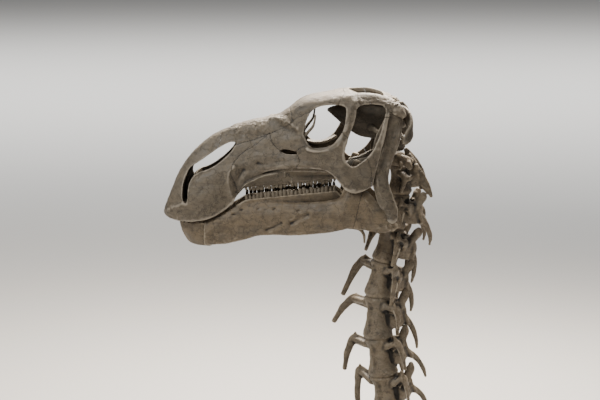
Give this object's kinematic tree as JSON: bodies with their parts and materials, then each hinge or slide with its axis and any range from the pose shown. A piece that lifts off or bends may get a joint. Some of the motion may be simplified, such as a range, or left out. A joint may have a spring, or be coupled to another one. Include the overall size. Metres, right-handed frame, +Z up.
{
  "type": "iguanodont dinosaur skull fossil",
  "caption": "Life-size museum model of an iguanodont dinosaur's skull and neck bones, jaw nearly shut, standing on a plain steel plate and rod.",
  "frame": {"origin": "centre of the underside of the stand's base plate", "axes": "+Z up; -X is the way the beak points; +Y is towards the skull's right side"},
  "size_m": [0.962, 0.45, 1.3443],
  "materials": {
    "bone": "warm grey-brown fossil bone cast, matt with a faint lacquer, darker in pores, cracks and joints",
    "steel": "blackened steel, satin, with worn edges"
  },
  "bodies": {
    "root": {"premaxilla_left": "bone", "premaxilla_right": "bone", "nasal_left": "bone", "nasal_right": "bone", "maxilla_left": "bone", "maxilla_right": "bone", "lacrimal_left": "bone", "lacrimal_right": "bone", "frontal_left": "bone", "frontal_right": "bone", "postorbital_left": "bone", "postorbital_right": "bone", "squamosal_left": "bone", "squamosal_right": "bone", "jugal_left": "bone", "jugal_right": "bone", "quadratojugal_left": "bone", "quadratojugal_right": "bone", "quadrate_left": "bone", "quadrate_right": "bone", "palpebral_left": "bone", "palpebral_right": "bone", "dentary_left": "bone", "dentary_right": "bone", "surangular_left": "bone", "surangular_right": "bone", "hyoid_left": "bone", "hyoid_right": "bone", "parietal": "bone", "palate": "bone", "braincase": "bone", "predentary": "bone", "atlas": "bone", "axis": "bone", "cervical_3": "bone", "cervical_4": "bone", "cervical_5": "bone", "cervical_6": "bone", "cervical_7": "bone", "cervical_8": "bone", "stand_base": "steel", "stand_post": "steel", "stand_cup": "steel"}
  },
  "joints": []
}
